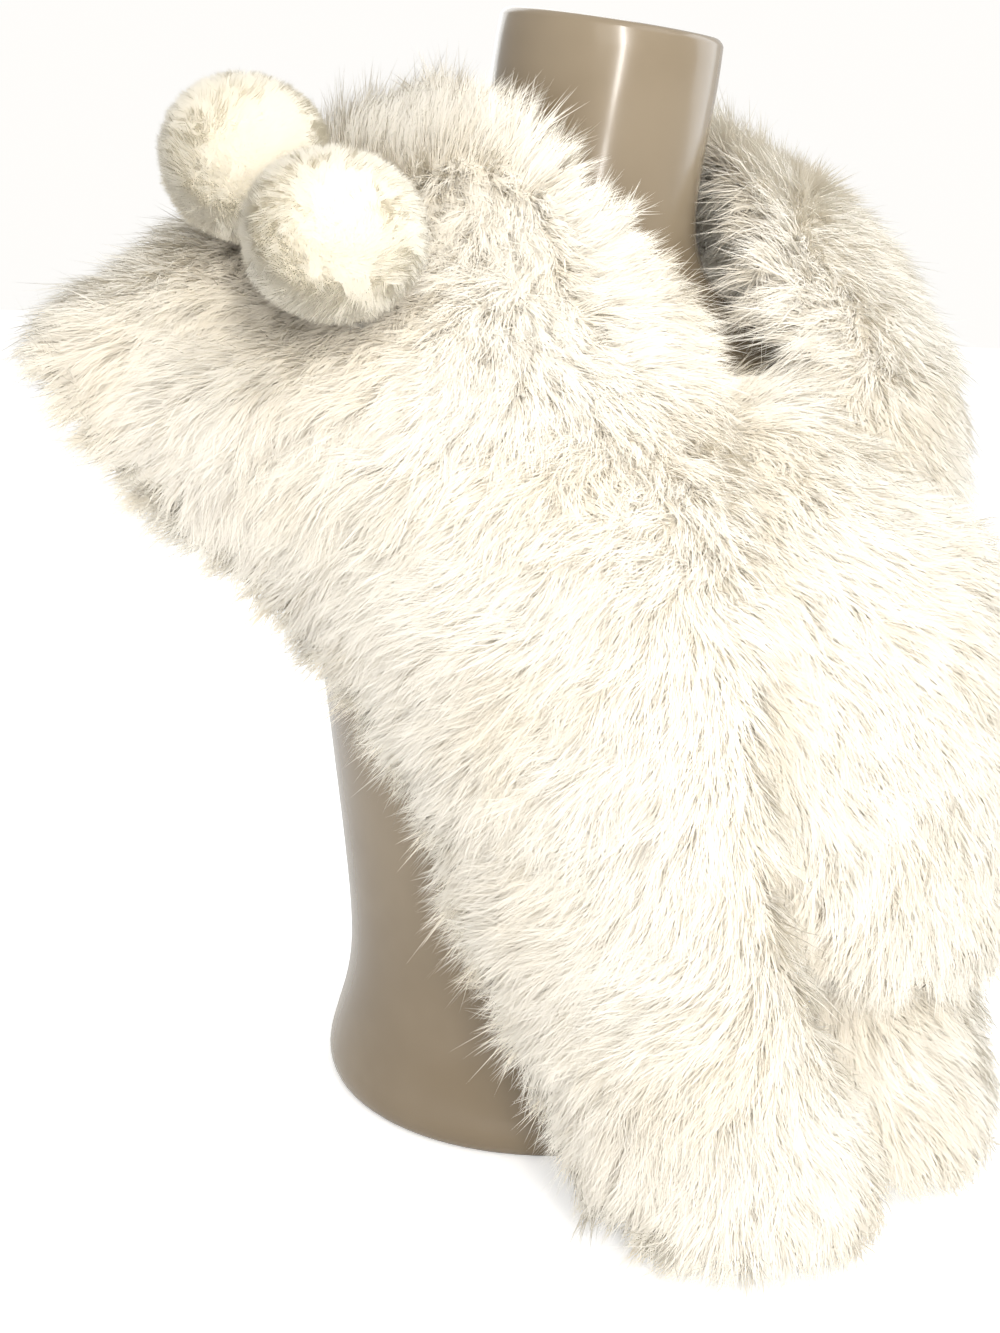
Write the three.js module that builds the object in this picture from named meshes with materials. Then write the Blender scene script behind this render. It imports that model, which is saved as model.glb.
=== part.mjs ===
// A white fur wrap with two fur pompoms, worn over a limbless torso form.
// Millimetres, +Z up. The form faces -Y and its left side is +X.
// The origin is the middle of the form's flat underside. The tables below measure Y from the line
// straight under the shoulders, and the whole model is moved by BASE_MIDDLE_Y at the end.
import * as THREE from "three";
import { mergeVertices } from "three/addons/utils/BufferGeometryUtils.js";

// Driving dimensions
const FORM_HEIGHT = 554;          // underside to the middle of the neck's top
const BASE_MIDDLE_Y = -12;        // middle of the underside, in front of the shoulder line
const FORM_SEGMENTS = 44;         // facets round the form
const FORM_RINGS_PER_ROW = 2;     // rings lofted between two rows of the form's table
const NECK_LEAN = 10;             // degrees that the neck's flat top tips forward
const NECK_BASE = 460;            // height where the neck starts to lean
const WRAP_WALL = 30;             // pelt, lining and pile of the band, as they lie
const CROSS_WALL = 27;            // the same where the band is pressed under its other end
const SEAM_GAP = 0.3;             // between two stretches that meet
const ACROSS_STEPS = 12;          // facets across the band on each face
const STEPS_PER_ROW = 3;          // stations between two rows of a band's table
const FREE_END_ROWS = 0.55;       // rows over which a loose end rounds off
const FREE_END_WALL = 0.3;        // share of the wall left at the very end
const TUFT_RELIEF = 1.1;          // height of each wave of tufts on the outer face
const POMPOM_RELIEF = 2.5;        // height of the tufts on a pompom
const POMPOM_DETAIL = 5;          // subdivision of a pompom's facets

// Finishes
const FUR = { color: 0xf1ece2, roughness: 0.95, metalness: 0 };
const POMPOM_FUR = { color: 0xf4ecd9, roughness: 0.95, metalness: 0 };
const FORM_PLASTIC = { color: 0x8e8272, roughness: 0.28, metalness: 0 };

// The form's level sections: height, half width, half depth and the section's middle along Y
const FORM_ROWS = [
  { z: 0, wide: 129, deep: 113, y: BASE_MIDDLE_Y },
  { z: 4, wide: 134, deep: 118, y: BASE_MIDDLE_Y },
  { z: 14, wide: 136, deep: 120, y: BASE_MIDDLE_Y },
  { z: 45, wide: 128, deep: 109, y: -11 },
  { z: 75, wide: 125, deep: 104, y: -11 },
  { z: 120, wide: 130, deep: 107, y: -13 },
  { z: 180, wide: 140, deep: 116, y: -17 },
  { z: 240, wide: 150, deep: 124, y: -20 },
  { z: 285, wide: 157, deep: 119, y: -15 },
  { z: 325, wide: 163, deep: 106, y: -7 },
  { z: 360, wide: 165, deep: 88, y: 0 },
  { z: 384, wide: 158, deep: 72, y: 4 },
  { z: 405, wide: 135, deep: 63, y: 6 },
  { z: 422, wide: 104, deep: 59, y: 7 },
  { z: 438, wide: 74, deep: 58, y: 6 },
  { z: NECK_BASE, wide: 60, deep: 57, y: 4 },
  { z: 505, wide: 57, deep: 56, y: -4 },
  { z: FORM_HEIGHT - 3, wide: 56, deep: 56, y: -12 },
  { z: FORM_HEIGHT, wide: 53, deep: 53, y: -12.5 },
];

// The band's middle surface, a row for each section across it, from the loose end in front up over
// the right shoulder, behind the neck, over the left shoulder and down to the other end.
// neck and arm are the band's two edges, high and low are points between them.
const FRONT_ROWS = [
  { neck: [16, -240, 8], high: [-44, -247, 6], low: [-92, -216, 6], arm: [-103, -156, 12] },
  { neck: [-6, -231, 72], high: [-57, -224, 68], low: [-94, -180, 64], arm: [-114, -122, 70] },
  { neck: [-44, -221, 150], high: [-86, -202, 148], low: [-118, -153, 140], arm: [-130, -98, 128] },
  { neck: [-58, -214, 219], high: [-95, -190, 214], low: [-130, -137, 206], arm: [-145, -74, 194] },
  { neck: [-54, -201, 280], high: [-96, -174, 275], low: [-138, -118, 262], arm: [-163, -38, 237] },
  { neck: [-36, -172, 328], high: [-86, -147, 325], low: [-146, -98, 312], arm: [-180, 2, 270] },
  { neck: [-14, -126, 372], high: [-77, -107, 374], low: [-157, -75, 352], arm: [-198, 15, 290] },
];
const RIGHT_SHOULDER_ROWS = [
  { neck: [-4, -84, 424], high: [-72, -75, 418], low: [-164, -50, 382], arm: [-224, 28, 312] },
  { neck: [-46, -62, 468], high: [-93, -48, 442], low: [-174, -20, 388], arm: [-248, 48, 342] },
  { neck: [-70, -32, 507], high: [-108, -12, 455], low: [-180, 14, 397], arm: [-263, 62, 368] },
  { neck: [-77, 16, 519], high: [-118, 46, 468], low: [-203, 62, 420], arm: [-271, 78, 390] },
];
const BACK_ROWS = [
  { neck: [-62, 62, 516], high: [-112, 98, 474], low: [-190, 116, 416], arm: [-238, 112, 362] },
  { neck: [0, 78, 512], high: [0, 122, 470], low: [0, 140, 400], arm: [0, 138, 300] },
  { neck: [62, 62, 516], high: [112, 98, 474], low: [190, 114, 420], arm: [236, 110, 350] },
];
const LEFT_SHOULDER_ROWS = [
  { neck: [76, 14, 512], high: [142, 32, 486], low: [218, 46, 440], arm: [268, 72, 368] },
  { neck: [62, -46, 476], high: [134, -32, 474], low: [214, -8, 424], arm: [268, 46, 356] },
  { neck: [42, -78, 432], high: [118, -82, 432], low: [200, -62, 390], arm: [257, 22, 338] },
  { neck: [64, -100, 385], high: [124, -112, 378], low: [190, -92, 345], arm: [237, -2, 314] },
];
const LEFT_END_ROWS = [
  { neck: [62, -136, 305], high: [112, -136, 305], low: [168, -108, 295], arm: [208, -24, 280] },
  { neck: [38, -162, 228], high: [88, -161, 228], low: [142, -126, 228], arm: [182, -52, 225] },
  { neck: [12, -172, 145], high: [70, -178, 143], low: [130, -150, 145], arm: [168, -86, 150] },
  { neck: [-8, -190, 70], high: [60, -210, 66], low: [122, -188, 70], arm: [158, -122, 76] },
  { neck: [-2, -206, 8], high: [62, -240, 7], low: [118, -216, 8], arm: [148, -156, 14] },
];

// The fold that crosses the chest, from under the front stretch round to the left side
const CROSS_ROWS = [
  { neck: [-2, -85, 392], high: [-45, -136, 330], low: [-62, -168, 230], arm: [-45, -176, 140] },
  { neck: [36, -107, 396], high: [2, -168, 308], low: [-10, -188, 215], arm: [-5, -202, 114] },
  { neck: [74, -142, 356], high: [48, -190, 285], low: [42, -211, 190], arm: [44, -218, 98] },
  { neck: [118, -166, 325], high: [102, -196, 262], low: [98, -217, 185], arm: [98, -222, 104] },
  { neck: [165, -148, 300], high: [155, -178, 245], low: [150, -196, 185], arm: [148, -196, 122] },
  { neck: [203, -94, 262], high: [203, -110, 234], low: [199, -118, 205], arm: [193, -118, 178] },
];

// The waves that add up to the pile's uneven tufts: radians per row, radians across and phase
const TUFT_WAVES = [
  { perRow: 7.3, across: 9, phase: 0 },
  { perRow: 3.1, across: -17, phase: 1.3 },
];

// The two waves that multiply into a pompom's tufts: radians along X, Y and Z over its radius
const POMPOM_WAVES = [
  { x: 11, y: 0, z: 5 },
  { x: 0, y: 9, z: -7 },
];

// The pompoms: middle and half sizes across and up
const POMPOMS = [
  { name: "pompom_near", middle: [-181.5, -52.4, 441.1], across: 40, up: 36.5 },
  { name: "pompom_far", middle: [-186.4, 17.3, 474.9], across: 39, up: 37 },
];

const COLUMNS = ["neck", "high", "low", "arm"];

function finish(look) {
  return new THREE.MeshStandardMaterial(look);
}

// A closed mesh from rings of equal length, with each end closed by its own list of triangles
function meshFromRings(rings, endTriangles) {
  const count = rings[0].length;
  const positions = rings.flat().flatMap((point) => [point.x, point.y, point.z]);
  const faces = [];
  for (let ring = 0; ring < rings.length - 1; ring += 1) {
    for (let side = 0; side < count; side += 1) {
      const next = (side + 1) % count;
      const a = ring * count + side;
      const b = ring * count + next;
      faces.push(a, b, b + count, a, b + count, a + count);
    }
  }
  const last = (rings.length - 1) * count;
  for (const [a, b, c] of endTriangles) {
    faces.push(a, c, b, last + a, last + b, last + c);
  }
  const geometry = new THREE.BufferGeometry();
  geometry.setAttribute("position", new THREE.Float32BufferAttribute(positions, 3));
  geometry.setIndex(faces);
  geometry.computeVertexNormals();
  return geometry;
}

// Torso form

function formRing(row) {
  const above = Math.max(0, row.z - NECK_BASE) / (FORM_HEIGHT - NECK_BASE);
  const lean = THREE.MathUtils.degToRad(NECK_LEAN) * above;
  const ring = [];
  for (let side = 0; side < FORM_SEGMENTS; side += 1) {
    const turn = (side / FORM_SEGMENTS) * Math.PI * 2;
    const along = row.deep * Math.sin(turn);
    ring.push(new THREE.Vector3(
      row.wide * Math.cos(turn),
      row.y + along * Math.cos(lean),
      row.z + along * Math.sin(lean),
    ));
  }
  return ring;
}

function formGeometry() {
  const curve = (pick) => new THREE.CatmullRomCurve3(
    FORM_ROWS.map((row) => new THREE.Vector3(pick(row), 0, row.z)), false, "centripetal",
  );
  const [wide, deep, middle] = [(row) => row.wide, (row) => row.deep, (row) => row.y].map(curve);
  const steps = (FORM_ROWS.length - 1) * FORM_RINGS_PER_ROW;
  const rings = [];
  for (let step = 0; step <= steps; step += 1) {
    const t = step / steps;
    const level = wide.getPoint(t);
    rings.push(formRing({ z: level.z, wide: level.x, deep: deep.getPoint(t).x, y: middle.getPoint(t).x }));
  }
  const fan = [];
  for (let side = 1; side < FORM_SEGMENTS - 1; side += 1) {
    fan.push([0, side, side + 1]);
  }
  return meshFromRings(rings, fan);
}

// Fur band

// Half the wall at a share v of the way across the band, full in the middle and round at both edges
function edgeRound(v) {
  return Math.sqrt(Math.max(0, 1 - Math.abs(2 * v - 1) ** 3));
}

// Share of the wall at a distance, in rows, from a loose end
function endRound(rows) {
  if (rows >= FREE_END_ROWS) {
    return 1;
  }
  const left = 1 - rows / FREE_END_ROWS;
  return Math.max(FREE_END_WALL, Math.sqrt(1 - left * left));
}

// Low uneven tufts over the outer face
function tufts(row, v) {
  const waves = TUFT_WAVES.map((wave) => Math.sin(wave.perRow * row + wave.across * v + wave.phase));
  return TUFT_RELIEF * waves.reduce((sum, wave) => sum + wave, 0);
}

// The share of the way across the band at a step, closer together near the round edges
function acrossShare(step) {
  return 0.5 - 0.5 * Math.cos((step / ACROSS_STEPS) * Math.PI);
}

// Stations along a band: the points of its middle surface and the directions out of it and along it
function bandStations(rows) {
  const along = COLUMNS.map((column) => new THREE.CatmullRomCurve3(
    rows.map((row) => new THREE.Vector3(...row[column])), false, "centripetal",
  ));
  const steps = (rows.length - 1) * STEPS_PER_ROW;
  const grid = [];
  for (let step = 0; step <= steps; step += 1) {
    const section = along.map((curve) => curve.getPoint(step / steps));
    const across = new THREE.CatmullRomCurve3(section, false, "centripetal");
    const points = [];
    for (let j = 0; j <= ACROSS_STEPS; j += 1) {
      points.push(across.getPoint(acrossShare(j)));
    }
    grid.push(points);
  }
  return grid.map((points, step) => {
    const before = grid[Math.max(0, step - 1)];
    const after = grid[Math.min(steps, step + 1)];
    return points.map((point, j) => {
      const lengthwise = after[j].clone().sub(before[j]).normalize();
      const ahead = points[Math.min(ACROSS_STEPS, j + 1)];
      const crosswise = ahead.clone().sub(points[Math.max(0, j - 1)]).normalize();
      return { point, lengthwise, out: crosswise.clone().cross(lengthwise).normalize() };
    });
  });
}

// One stretch of a band between two rows, as a closed wall that ends half a seam gap short
function stretchGeometry(stations, { from, to, wall, looseStart, looseEnd }) {
  const rings = [];
  for (let step = from * STEPS_PER_ROW; step <= to * STEPS_PER_ROW; step += 1) {
    const row = step / STEPS_PER_ROW;
    const startRound = looseStart ? endRound(row - from) : 1;
    const finishRound = looseEnd ? endRound(to - row) : 1;
    const pull = (row === from ? 0.5 : 0) - (row === to ? 0.5 : 0);
    const outer = [];
    const inner = [];
    stations[step].forEach(({ point, lengthwise, out }, j) => {
      const v = acrossShare(j);
      const round = edgeRound(v) * startRound * finishRound;
      const seat = point.clone().addScaledVector(lengthwise, pull * SEAM_GAP);
      outer.push(seat.clone().addScaledVector(out, round * (wall / 2 + tufts(row, v))));
      if (j > 0 && j < ACROSS_STEPS) {
        inner.unshift(seat.clone().addScaledVector(out, -round * wall / 2));
      }
    });
    rings.push([...outer, ...inner]);
  }
  const count = 2 * ACROSS_STEPS;
  const ends = [[0, 1, count - 1]];
  for (let j = 1; j < ACROSS_STEPS - 1; j += 1) {
    ends.push([j, j + 1, count - j], [j + 1, count - j - 1, count - j]);
  }
  ends.push([ACROSS_STEPS - 1, ACROSS_STEPS, ACROSS_STEPS + 1]);
  return meshFromRings(rings, ends);
}

// Pompoms

function pompomGeometry({ across, up }) {
  const ball = new THREE.IcosahedronGeometry(1, POMPOM_DETAIL);
  ball.deleteAttribute("normal");
  ball.deleteAttribute("uv");
  const geometry = mergeVertices(ball);
  const place = geometry.getAttribute("position");
  for (let index = 0; index < place.count; index += 1) {
    const way = new THREE.Vector3().fromBufferAttribute(place, index).normalize();
    const waves = POMPOM_WAVES.map((wave) => Math.sin(wave.x * way.x + wave.y * way.y + wave.z * way.z));
    const lift = 0.5 * POMPOM_RELIEF * (waves[0] * waves[1] - 1);
    const scaled = way.clone().multiply(new THREE.Vector3(across + lift, across + lift, up + lift));
    place.setXYZ(index, scaled.x, scaled.y, scaled.z);
  }
  geometry.computeVertexNormals();
  return geometry;
}

// Assembly

const wrapOnForm = new THREE.Group();

function addPiece(name, geometry, look) {
  const piece = new THREE.Mesh(geometry, finish(look));
  piece.name = name;
  wrapOnForm.add(piece);
  return piece;
}

addPiece("torso_form", formGeometry(), FORM_PLASTIC);

const STRETCHES = [
  { name: "front_stretch", rows: FRONT_ROWS },
  { name: "right_shoulder_stretch", rows: RIGHT_SHOULDER_ROWS },
  { name: "back_stretch", rows: BACK_ROWS },
  { name: "left_shoulder_stretch", rows: LEFT_SHOULDER_ROWS },
  { name: "left_end_stretch", rows: LEFT_END_ROWS },
];
const bandRows = STRETCHES.flatMap((stretch) => stretch.rows);
const band = bandStations(bandRows);
let from = 0;
for (const { name, rows } of STRETCHES) {
  const to = bandRows.indexOf(rows[rows.length - 1]);
  const looseStart = from === 0;
  const looseEnd = to === bandRows.length - 1;
  addPiece(name, stretchGeometry(band, { from, to, wall: WRAP_WALL, looseStart, looseEnd }), FUR);
  from = to;
}

addPiece("cross_stretch", stretchGeometry(bandStations(CROSS_ROWS), {
  from: 0, to: CROSS_ROWS.length - 1, wall: CROSS_WALL, looseStart: true, looseEnd: true,
}), FUR);

for (const pompom of POMPOMS) {
  addPiece(pompom.name, pompomGeometry(pompom), POMPOM_FUR).position.set(...pompom.middle);
}

wrapOnForm.position.y = -BASE_MIDDLE_Y;

export default wrapOnForm;
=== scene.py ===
"""A white fur wrap with two pompoms on a glossy torso form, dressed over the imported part.

Metres, +Z up. The form faces -Y and its left side is +X.
"""

import math
from typing import NamedTuple

import bmesh
import bpy
import numpy as np
from bpy.props import FloatProperty, FloatVectorProperty, PointerProperty
from mathutils import Matrix, Vector, kdtree
from mathutils.bvhtree import BVHTree


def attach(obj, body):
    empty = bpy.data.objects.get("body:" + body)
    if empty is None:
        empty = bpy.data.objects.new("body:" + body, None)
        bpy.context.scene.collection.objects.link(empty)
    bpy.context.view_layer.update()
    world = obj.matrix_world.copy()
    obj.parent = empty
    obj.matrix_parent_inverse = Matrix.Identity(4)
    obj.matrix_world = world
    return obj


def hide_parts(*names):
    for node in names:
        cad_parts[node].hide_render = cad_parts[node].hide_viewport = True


bl_info = {
    "name": "Fur wrap on a torso form",
    "version": (1, 0, 0),
    "blender": (4, 5, 0),
    "location": "View3D > Sidebar > Fur wrap",
    "description": "Builds a long-haired fur wrap with pompoms, its torso form and a plain studio",
    "category": "Object",
}

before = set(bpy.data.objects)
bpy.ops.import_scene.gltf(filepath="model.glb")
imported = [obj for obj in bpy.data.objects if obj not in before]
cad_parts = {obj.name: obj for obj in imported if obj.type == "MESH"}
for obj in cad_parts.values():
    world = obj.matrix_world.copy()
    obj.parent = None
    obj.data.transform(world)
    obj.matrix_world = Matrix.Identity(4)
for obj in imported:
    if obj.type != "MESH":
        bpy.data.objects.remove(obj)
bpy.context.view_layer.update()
BODY = "root"
HAIR_MAP = "OFBake"  # u is a hair's tint; v runs from painted crease shade through roots to tips

# Floor
FLOOR_HALF = 30.0
FLOOR_DROP = 0.0005
FLOOR_CLEARANCE = 0.0015  # the least height of a hair

# The form's facets
FORM_WELD = 1e-6
FORM_FLAT_ANGLE = math.radians(25)
FORM_QUAD_ANGLE = math.radians(40)
FORM_EDGE_ANGLE = math.radians(30)
FORM_EDGE_CREASE = 0.7

# Smooth uneven fields
DRIFT_WAVES = 9
DRIFT_SPREAD = (0.6, 1.5)  # lowest and highest wave number beside the usual one
DRIFT_SCALE = 4.0

# How a surface is looked at, to tell what is open, creased or hidden
LOOKS = 6  # slanting looks out of each point
LOOK_START = 0.004  # how far outside the surface a look starts
LOOK_SLANT = 1.2  # sideways part of a slanting look, beside its part along the normal
LOOK_AXIS = np.array([0.31, 0.87, 0.38])  # a slanting way, to find one across each normal
CREASE_OPENNESS = (0.3, 0.95)  # from deep in a crease, with the most painted shade, to the open, with none
CREASE_SOFTENING = 5
SIGHT_TILTS = (math.radians(4), math.radians(25), math.radians(60))
SIGHT_TURNS = 14  # looks all round at each tilt

# The pelt under the hair
PELT_SMOOTHING = 6
PELT_LOOK = 0.025  # reach of the looks out of the pelt
# reach of the looks that set the painted crease shade on the wrap's hair
PELT_CREASE_LOOK = 0.055
OUTER_OPENNESS = (0.1, 0.55)  # from an inner face to an outer one
LUMP_WAVE = 0.035
SIGHT_FOR_HAIR = (0.0, 0.09)  # share of looks from which hair grows at its thickest
HIDDEN_HAIR = 0.04  # how thickly hair grows where no look reaches

# How hair stands and lies
FLUFF = 0.88  # share of the pelt's own normal in a hair's shading
TAPER = 0.55  # share of its width that a hair loses before its last point
LOCK_COVER = 1.3  # hairy area beside the flat cut
GUIDE_CORE = 0.01  # distance within which a guide rules
GUIDE_FALLOFF = 4
LEAST_EASE = 0.4  # lean that is left where the guides meet head on
EASE_FLOW = (0.0, 0.55)  # from guides that cancel out to guides that agree
AGAINST_EASE = 0.25  # lean lost where the guides press into the surface
SWIRLS = ((0.45, 0.09, 0), (0.35, 0.03, 7))  # turn in radians, wave and seed step
SWIRL_NOISE = 0.20
LOCK_NORMAL = 0.6  # share of the lock's normal in each hair's own
WAY_NOISE = 0.12
HAIR_LENGTHS = (0.75, 1.15)
HAIR_WIDTHS = (0.7, 1.2)
HAIR_ROLL = 1.1  # most that a ribbon turns about itself, in radians
PULL_CURVE = 1.3
STRAY_CURVE = 2
TINT_ENDS = (0.01, 0.99)

# How locks differ from each other
NARROW_OPENNESS = (0.35, 0.9)  # from a narrow place to the open
NARROW_LENGTH = 0.5
LENGTH_DRIFT = 0.18
LENGTH_WAVE = 0.05
LENGTH_NOISE = 0.12
LENGTH_ENDS = (0.6, 1.4)
TINT_MIDDLE = 0.45
TINT_DRIFT = 0.30
TINT_WAVE = 0.10
TINT_NOISE = 0.08
HAIR_TINT_NOISE = 0.06

# Underfur beside the long hair
UNDER_PULL = 0.2
UNDER_ROOT_LEAN = 0.8
UNDER_TIP_LEAN = 0.9
UNDER_STRAY = 0.20
GUARD_STRAY = 0.10

# Longer hair along the left shoulder's edge closes the gap beside the neck
NECK_EDGE = np.array([
    (0.055, -0.08, 0.42), (0.062, -0.05, 0.455), (0.075, -0.02, 0.485), (0.095, 0.015, 0.495)])
NECK_REACH = 0.045
NECK_EXTRA = 0.9

# How the hair is combed: a place on the wrap and the way the hair lies there
COMB = (
    # loose end in front, from its hem up to the shoulder
    ((-0.100, -0.18, 0.02), (-0.50, 0.10, -0.85)),
    ((-0.040, -0.24, 0.02), (-0.15, -0.10, -1.00)),
    ((0.010, -0.23, 0.06), (0.15, -0.10, -1.00)),
    ((-0.130, -0.10, 0.15), (-0.75, 0.45, -0.50)),
    ((-0.095, -0.18, 0.20), (-0.45, 0.10, -0.85)),
    ((-0.050, -0.21, 0.23), (-0.05, -0.10, -1.00)),
    ((-0.165, -0.05, 0.28), (-0.70, 0.30, -0.60)),
    ((-0.100, -0.14, 0.31), (-0.60, 0.05, -0.75)),
    ((-0.030, -0.15, 0.35), (-0.10, -0.20, -0.70)),
    # right shoulder and its flap
    ((-0.265, 0.09, 0.38), (-0.90, 0.10, -0.40)),
    ((-0.200, 0.03, 0.41), (-0.85, -0.15, -0.50)),
    ((-0.110, -0.04, 0.45), (-0.65, -0.20, -0.50)),
    ((-0.070, 0.03, 0.53), (0.35, -0.20, 0.90)),
    ((-0.060, -0.03, 0.51), (0.60, -0.25, 0.70)),
    ((-0.025, -0.06, 0.46), (0.70, -0.40, 0.45)),
    ((0.005, -0.09, 0.41), (0.75, -0.50, 0.10)),
    # back
    ((0.000, 0.14, 0.43), (0.00, 0.30, -0.95)),
    ((-0.190, 0.13, 0.42), (-0.60, 0.40, -0.70)),
    ((0.190, 0.13, 0.42), (0.60, 0.40, -0.70)),
    # left shoulder and the end below it
    ((0.250, 0.04, 0.42), (0.85, 0.00, -0.50)),
    ((0.130, -0.06, 0.44), (0.45, -0.35, -0.80)),
    ((0.075, -0.02, 0.49), (-0.75, 0.40, -0.30)),
    ((0.060, -0.08, 0.43), (-0.75, 0.30, -0.45)),
    ((0.110, 0.04, 0.48), (-0.80, -0.40, -0.30)),
    ((0.170, 0.07, 0.45), (-0.70, -0.50, 0.10)),
    ((0.120, -0.15, 0.15), (0.15, 0.00, -1.00)),
    ((0.180, -0.05, 0.22), (0.60, 0.20, -0.75)),
    # fold across the chest
    ((0.000, -0.17, 0.30), (0.60, -0.20, -0.55)),
    ((0.100, -0.19, 0.20), (0.20, -0.10, -0.95)),
    ((0.060, -0.21, 0.11), (0.00, 0.00, -1.00)),
    ((0.190, -0.10, 0.22), (0.70, 0.40, -0.60)),
)


class Cloth(NamedTuple):
    """One cut piece of fur."""

    name: str
    nodes: tuple  # the stretches that it makes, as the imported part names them
    flat: tuple  # width and length of its cut
    hairs: tuple  # underfur hairs and long hairs on each stretch


CLOTHS = (
    Cloth(
        "band",
        ("front_stretch", "right_shoulder_stretch", "back_stretch", "left_shoulder_stretch",
         "left_end_stretch"),
        (0.26, 1.40),
        ((65000, 38000), (62000, 36000), (42000, 22000), (45000, 26000), (36000, 20000))),
    Cloth("cross", ("cross_stretch",), (0.25, 0.29), ((48000, 28000),)),
)
POMPOMS = ("pompom_near", "pompom_far")
POMPOM_HAIRS = 52000
POMPOM_SMOOTHING = 4
# reach of the looks that set the painted contact shade on a pompom's hair
POMPOM_CREASE_LOOK = 0.030
POMPOM_PULL = 0.10
POMPOM_STRAY = 0.06
POMPOM_ROOT_LEAN = math.radians(22)
POMPOM_TIP_LEAN = math.radians(42)
POMPOM_WAY_WAVE = 0.06
POMPOM_WAY_NOISE = 0.3
POMPOM_LENGTH_NOISE = 0.04
POMPOM_LENGTH_ENDS = (0.88, 1.12)
POMPOM_TINT_MIDDLE = 0.4
POMPOM_TINT_DRIFT = 0.25
POMPOM_TINT_WAVE = 0.05
POMPOM_TINT_NOISE = 0.1


class Lamp(NamedTuple):
    """One soft light of the studio."""

    name: str
    place: tuple
    target: tuple
    size: tuple  # width and height
    tint: tuple


LAMPS = (
    Lamp("key", (0.20, -0.95, 1.60), (0.0, -0.05, 0.30), (1.2, 1.2), (0.97, 0.985, 1.0)),
    Lamp("fill", (-0.85, -1.25, 0.95), (-0.05, -0.05, 0.33), (1.0, 1.0), (1.0, 0.95, 0.88)),
    Lamp("strip", (-0.60, -1.22, 0.80), (0.0, 0.0, 0.48), (0.10, 1.2), (1.0, 0.98, 0.95)),
    Lamp("side", (1.20, -0.30, 0.95), (0.0, 0.0, 0.40), (0.90, 1.3), (0.90, 0.95, 1.0)),
    Lamp("back", (0.45, 1.25, 1.25), (0.0, 0.05, 0.35), (1.2, 1.2), (0.95, 0.98, 1.0)),
)
SKY_TINT = (1.0, 0.985, 0.96)
LIGHT_BOUNCES = 4
DIFFUSE_BOUNCES = 3
SENSOR_WIDTH = 36.0


# Settings

def length(name, description, default):
    """A size in metres that a user may change."""
    return FloatProperty(name=name, description=description, default=default, min=0.0, unit="LENGTH")


def share(name, description, default, top=1.0):
    """A plain number from 0 upwards that a user may change."""
    return FloatProperty(name=name, description=description, default=default, min=0.0, max=top)


def angle(name, description, degrees):
    """An angle that a user may change."""
    return FloatProperty(
        name=name, description=description, default=math.radians(degrees),
        subtype="ANGLE", unit="ROTATION")


def power(name, description, default):
    """A light's power in watts that a user may change."""
    return FloatProperty(name=name, description=description, default=default, min=0.0, unit="POWER")


def colour(name, description, default):
    """A linear colour that a user may change."""
    return FloatVectorProperty(
        name=name, description=description, default=default, size=3, min=0.0, max=1.0, subtype="COLOR")


class FurSettings(bpy.types.PropertyGroup):
    """The wrap's fur."""

    voxel: length("Pelt mesh size", "Spacing of the points on the pelt", 0.0075)
    pelt_outer: length("Pile depth", "How far the pelt lies under the tips on the outer face", 0.0065)
    pelt_inner: length("Lining depth", "How far the pelt lies under the solid's inner face", 0.0015)
    lumps: length("Lumps", "Height of the soft lumps in the pelt", 0.0025)
    under_length: length("Underfur length", "Length of the soft underfur", 0.015)
    guard_length: length("Hair length", "Length of the longer hairs", 0.024)
    under_width: length("Underfur width", "Width of an underfur hair at its root", 0.0007)
    guard_width: length("Hair width", "Width of a long hair at its root", 0.00055)
    lock_spacing: length("Lock spacing", "Distance between the middles of two locks", 0.0065)
    lock_pull: share("Lock pull", "How far the hairs of a lock draw together at their tips", 0.5)
    root_lean: angle("Root lean", "Lean of a hair at its root, from straight up", 48)
    tip_lean: angle("Tip lean", "Lean of a hair at its tip, from straight up", 80)
    tip_colour: colour("Tips", "Colour of the hair's tips", (0.945, 0.91, 0.83))
    root_colour: colour("Roots", "Colour of the hair's roots", (0.92, 0.86, 0.74))
    cream_colour: colour("Cream hairs", "Colour that some locks turn to", (0.925, 0.865, 0.75))
    # painted shade: hair deep in a crease takes this darker colour in place of the shadow that the hair
    # doesn't cast
    crease_shade_colour: colour("Creases", "Colour of the hair deep in a crease", (0.68, 0.62, 0.53))
    pelt_colour: colour("Pelt", "Colour between the locks", (0.94, 0.90, 0.81))


class PompomSettings(bpy.types.PropertyGroup):
    """The two pompoms."""

    voxel: length("Core mesh size", "Spacing of the points on the core", 0.004)
    depth: length("Pile depth", "How far the core lies under the tips", 0.003)
    hair_length: length("Hair length", "Length of a pompom's hair", 0.006)
    hair_width: length("Hair width", "Width of a pompom's hair at its root", 0.0004)
    lock_spacing: length("Lock spacing", "Distance between the middles of two locks", 0.004)
    tip_colour: colour("Tips", "Colour of the hair's tips", (0.95, 0.905, 0.79))
    root_colour: colour("Roots", "Colour of the hair's roots", (0.945, 0.89, 0.76))
    cream_colour: colour("Cream hairs", "Colour that some locks turn to", (0.94, 0.88, 0.73))
    # painted shade: hair where a pompom touches the wrap takes this darker colour as a painted contact
    # shadow
    crease_shade_colour: colour("Creases", "Colour of the hair where a pompom is touched", (0.86, 0.80, 0.69))


class FormSettings(bpy.types.PropertyGroup):
    """The torso form's plastic."""

    colour: colour("Plastic", "Colour of the moulded plastic", (0.215, 0.165, 0.105))
    # painted reflection: the paler clouds stand in for blotchy reflections on the gloss
    reflection_cloud_colour: colour("Pale plastic", "Colour of its paler clouds", (0.27, 0.215, 0.145))
    roughness: share("Roughness", "How dull the plastic is", 0.22)
    coat: share("Coat", "Strength of the clear gloss", 0.35)


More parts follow.
